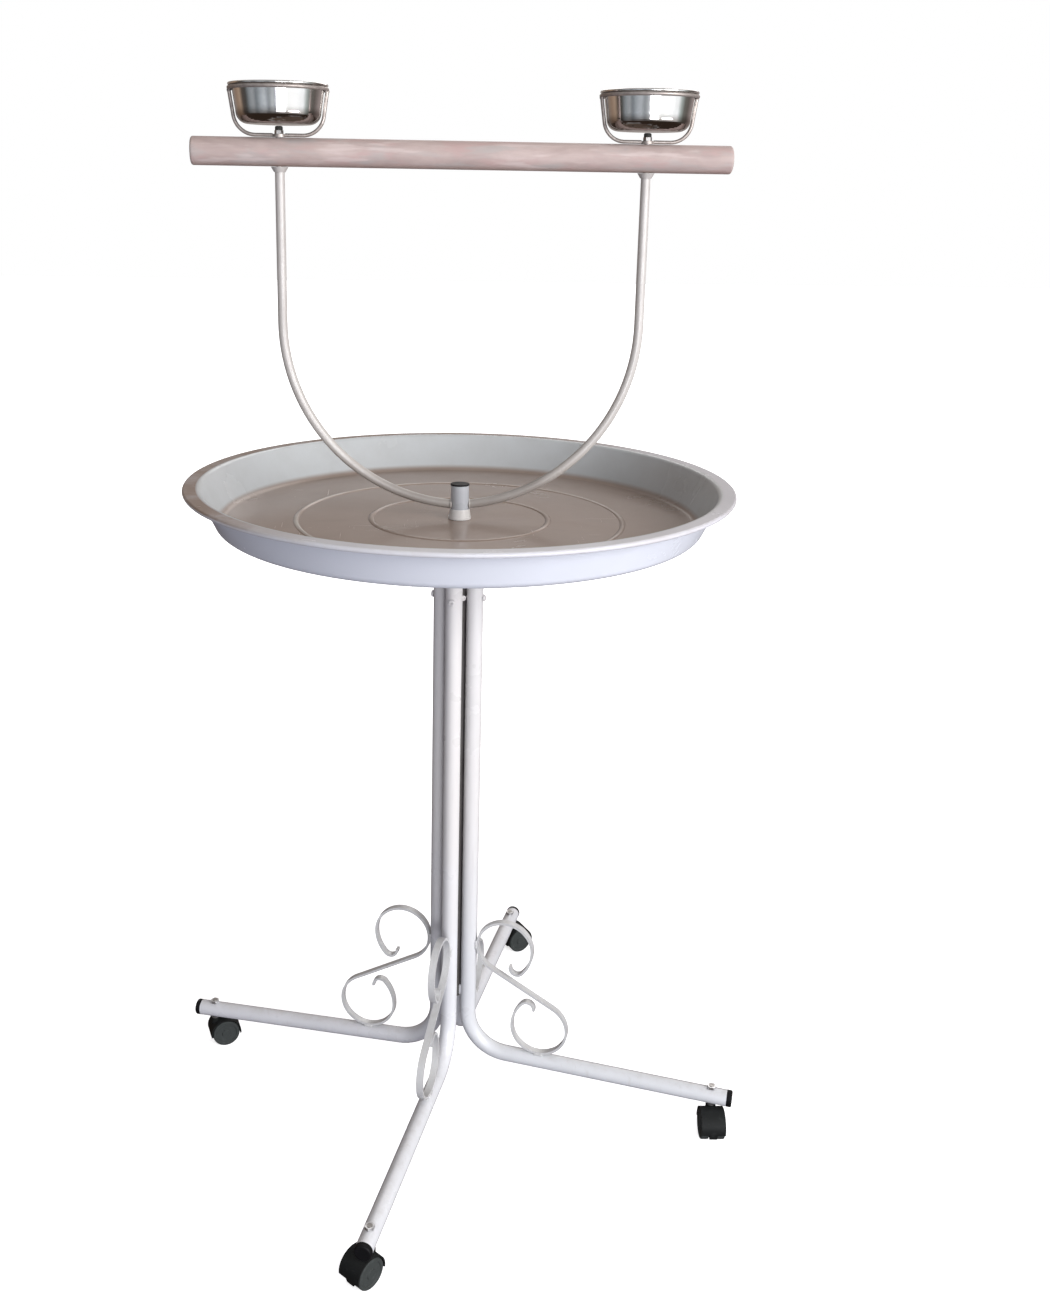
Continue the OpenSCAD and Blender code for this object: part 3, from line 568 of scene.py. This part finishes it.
def beads(name, lines, material, body):
    points, faces = [], []
    for i, (line, radius) in enumerate(lines):
        v, f = bead(line, radius, i * 1.7)
        base = len(points)
        points += v
        faces += [tuple(base + q for q in face) for face in f]
    mesh = mesh_from(name, points, faces)
    return piece(name, mesh, material, body)


# welds of the stand, in the frame of each leg: X outwards, Y across, Z up
LEGS_TURN, COL_R, TUBE_R = math.radians(-17.9), 0.01925, 0.0095


def at_leg(i, x, y, z):
    a = LEGS_TURN + math.pi / 2 * i
    return (x * math.cos(a) - y * math.sin(a), x * math.sin(a) + y * math.cos(a), TRAY_Z + z)


stand_welds, scroll_welds = [], []
for i in range(4):
    for s in (-1, 1):
        stand_welds.append(([at_leg(i, 0.0097, s * 0.0034, -0.5933), at_leg(i, 0.0097, s * 0.0034, -0.5798)], 0.0017))
        scroll_welds.append(([at_leg(i, 0.0288, s * 0.0040, -0.5288), at_leg(i, 0.0288, s * 0.0040, -0.5168)], 0.0015))
        scroll_welds.append(([at_leg(i, 0.1025, s * 0.0040, -0.6589), at_leg(i, 0.1145, s * 0.0040, -0.65925)], 0.0015))
beads("tube_welds", stand_welds, white, "stand")
beads("scroll_welds", scroll_welds, grey, "stand")

# welds of the perch frame: a ring round the rod at each side of the post, open underneath, over the collar
rod_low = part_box("u_rod")[0].z + 0.005
ring_welds = []
for s in (-1, 1):
    ring_welds.append(([(s * 0.0102, 0.0054 * math.cos(a), rod_low + 0.0054 * math.sin(a)) for a in np.linspace(-0.25 * math.pi, 1.25 * math.pi, 21)], 0.0009))
beads("rod_welds", ring_welds, warm, "perch_frame")
for side, s in (("left", -1), ("right", 1)):
    low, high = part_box("cup_ring_" + side)
    mid, r = (low.x + high.x) / 2, (high.x - low.x) / 2 - 0.0019
    lines = [([(mid + q * r, -0.0012, low.z - 0.0002), (mid + q * r, 0.0012, low.z - 0.0002)], 0.0021) for q in (-1, 1)]
    beads("holder_welds_" + side, lines, wire_mat, "perch_frame")

# ---------------------------------------------------------------- stage
floor_mesh = mesh_from("floor", [(-14, -14, 0), (14, -14, 0), (14, 14, 0), (-14, 14, 0)], [(0, 1, 2, 3)], False)
floor = bpy.data.objects.new("floor", floor_mesh)
scene.collection.objects.link(floor)
floor_mat = bpy.data.materials.new("pale_floor")
floor_mat.use_nodes = True
tree = floor_mat.node_tree
tree.nodes.clear()


def link_all(*pairs):
    for source, target in pairs:
        tree.links.new(source, target)


out = tree.nodes.new("ShaderNodeOutputMaterial")
diffuse = tree.nodes.new("ShaderNodeBsdfDiffuse")
diffuse.inputs["Color"].default_value = (0.80, 0.80, 0.82, 1)
bounce = tree.nodes.new("ShaderNodeBsdfDiffuse")
bounce.inputs["Color"].default_value = (0.34, 0.34, 0.40, 1)
mirror_sees = tree.nodes.new("ShaderNodeEmission")
mirror_sees.inputs["Color"].default_value = (0.075, 0.052, 0.040, 1)
clear = tree.nodes.new("ShaderNodeBsdfTransparent")
far_off = tree.nodes.new("ShaderNodeMapRange")
far_off.inputs["From Min"].default_value, far_off.inputs["From Max"].default_value = 2.2, 3.6
mirrored = tree.nodes.new("ShaderNodeMixShader")
glow = tree.nodes.new("ShaderNodeEmission")
glow.inputs["Color"].default_value = (1.0, 1.0, 1.0, 1)
where = tree.nodes.new("ShaderNodeTexCoord")
length = tree.nodes.new("ShaderNodeVectorMath")
length.operation = "LENGTH"
rise = tree.nodes.new("ShaderNodeMapRange")
for key, value in (("From Min", 0.6), ("From Max", 1.7), ("To Min", 0.72), ("To Max", 1.2)):
    rise.inputs[key].default_value = value
both = tree.nodes.new("ShaderNodeAddShader")
path = tree.nodes.new("ShaderNodeLightPath")
unseen = tree.nodes.new("ShaderNodeMixShader")
plain = tree.nodes.new("ShaderNodeMixShader")
link_all(
    (where.outputs["Object"], length.inputs[0]), (length.outputs["Value"], rise.inputs["Value"]),
    (rise.outputs[0], glow.inputs["Strength"]), (diffuse.outputs[0], both.inputs[0]), (glow.outputs[0], both.inputs[1]),
    (path.outputs["Is Glossy Ray"], unseen.inputs[0]), (bounce.outputs[0], unseen.inputs[1]),
    (length.outputs["Value"], far_off.inputs["Value"]), (far_off.outputs[0], mirrored.inputs[0]),
    (mirror_sees.outputs[0], mirrored.inputs[1]), (clear.outputs[0], mirrored.inputs[2]), (mirrored.outputs[0], unseen.inputs[2]), (path.outputs["Is Camera Ray"], plain.inputs[0]),
    (unseen.outputs[0], plain.inputs[1]), (both.outputs[0], plain.inputs[2]), (plain.outputs[0], out.inputs["Surface"]),
)
floor_mesh.materials.append(floor_mat)
floor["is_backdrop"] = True

# surroundings: white where the camera looks straight at them, a dim warm room to everything else
world = bpy.data.worlds.new("studio")
scene.world = world
world.use_nodes = True
wt = world.node_tree
wt.nodes.clear()


def wnode(kind, **values):
    node = wt.nodes.new(kind)
    for key, value in values.items():
        setattr(node, key, value)
    return node


def wmath(what, a, b=0.0):
    node = wnode("ShaderNodeMath", operation=what)
    for socket, value in zip(node.inputs, (a, b)):
        if isinstance(value, bpy.types.NodeSocket):
            wt.links.new(value, socket)
        else:
            socket.default_value = value
    return node.outputs[0]


direction = wnode("ShaderNodeTexCoord").outputs["Generated"]
parts = wnode("ShaderNodeSeparateXYZ")
wt.links.new(direction, parts.inputs[0])
dx, dy, dz = parts.outputs
# 0.5 is towards the camera, 0.75 is right, 0.25 is left, 0 and 1 are behind the stand
azimuth = wmath("ADD", wmath("DIVIDE", wmath("ARCTAN2", dx, wmath("MULTIPLY", dy, -1.0)), 2 * math.pi), 0.5)
ROOM = [
    (0.00, (0.40, 0.36, 0.34)), (0.10, (0.26, 0.21, 0.18)), (0.15, (0.30, 0.205, 0.15)), (0.190, (0.40, 0.29, 0.215)),
    (0.222, (0.10, 0.08, 0.07)), (0.257, (0.075, 0.07, 0.065)), (0.292, (0.24, 0.26, 0.28)), (0.322, (0.33, 0.34, 0.36)),
    (0.350, (0.18, 0.20, 0.22)), (0.385, (0.42, 0.45, 0.49)), (0.415, (0.50, 0.53, 0.57)), (0.442, (0.27, 0.29, 0.32)),
    (0.470, (0.50, 0.52, 0.54)), (0.490, (0.36, 0.38, 0.43)), (0.515, (1.25, 1.25, 1.25)), (0.700, (1.2, 1.22, 1.25)),
    (0.728, (0.50, 0.55, 0.54)), (0.765, (0.17, 0.165, 0.15)), (0.810, (0.14, 0.12, 0.11)), (0.880, (0.34, 0.28, 0.27)),
    (1.00, (0.40, 0.36, 0.34)),
]
ramp = wnode("ShaderNodeValToRGB")
wt.links.new(azimuth, ramp.inputs[0])
stops = ramp.color_ramp.elements
while len(stops) < len(ROOM):
    stops.new(0.5)
for element, (at, colour) in zip(stops, ROOM):
    element.position = at
    element.color = (*colour, 1.0)


def wmix(share, a, b):
    node = wnode("ShaderNodeMix", data_type="RGBA")
    for socket, value in ((node.inputs[0], share), (node.inputs[6], a), (node.inputs[7], b)):
        if isinstance(value, bpy.types.NodeSocket):
            wt.links.new(value, socket)
        else:
            socket.default_value = (*value, 1.0) if isinstance(value, tuple) else value
    return node.outputs[2]


def wspan(value, low, high):
    node = wnode("ShaderNodeMapRange", interpolation_type="SMOOTHSTEP")
    wt.links.new(value, node.inputs["Value"])
    node.inputs["From Min"].default_value, node.inputs["From Max"].default_value = low, high
    return node.outputs[0]


stripes = wnode("ShaderNodeTexNoise", noise_dimensions="1D")
wt.links.new(wmath("MULTIPLY", azimuth, 130.0), stripes.inputs["W"])
stripes.inputs["Detail"].default_value = 1.5
striped = wmath("MULTIPLY", wspan(azimuth, 0.255, 0.29), wspan(azimuth, 0.505, 0.49))
depth = wmath("MULTIPLY", wmath("SUBTRACT", stripes.outputs[0], 0.46), wmath("MULTIPLY", striped, 3.4))
window = wnode("ShaderNodeVectorMath", operation="SCALE")
wt.links.new(ramp.outputs[0], window.inputs[0])
wt.links.new(wmath("MAXIMUM", wmath("ADD", depth, 1.0), 0.25), window.inputs["Scale"])
room = wmix(wspan(dz, 0.45, 0.75), window.outputs[0], (0.42, 0.40, 0.385))
room = wmix(wspan(dz, -0.26, -0.46), room, (0.085, 0.062, 0.050))
seen = wnode("ShaderNodeLightPath").outputs["Is Camera Ray"]
light = wnode("ShaderNodeBackground")
wt.links.new(wmix(seen, room, (1.0, 1.0, 1.0)), light.inputs["Color"])
light.inputs["Strength"].default_value = 1.0
wout = wnode("ShaderNodeOutputWorld")
wt.links.new(light.outputs[0], wout.inputs["Surface"])


def area(name, aim, azimuth_deg, elevation_deg, distance, size, power, colour):
    """A soft box. Azimuth 0 is at the camera's side and 90 at the right."""
    a, e = math.radians(azimuth_deg), math.radians(elevation_deg)
    way = Vector((math.sin(a) * math.cos(e), -math.cos(a) * math.cos(e), math.sin(e)))
    data = bpy.data.lights.new(name, "AREA")
    data.shape = "RECTANGLE"
    data.size, data.size_y = size
    data.energy = power
    data.color = colour
    obj = bpy.data.objects.new(name, data)
    obj.location = Vector(aim) + way * distance
    obj.rotation_mode = "QUATERNION"
    obj.rotation_quaternion = way.to_track_quat("Z", "Y")
    obj.visible_camera = False
    scene.collection.objects.link(obj)
    return obj


area("key", (0, 0, 0.75), 44, 14, 3.2, (1.7, 1.7), 92.0, (1.0, 0.99, 0.985))
area("low_fill", (0, 0, 0.5), 8, 3, 3.6, (1.4, 0.8), 40.0, (0.93, 0.945, 1.0))
area("back_fill", (0, 0, 0.7), 165, 35, 3.5, (2.0, 1.6), 26.0, (1.0, 0.98, 0.96))

# ---------------------------------------------------------------- the object's bounds, and the end
low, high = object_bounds()
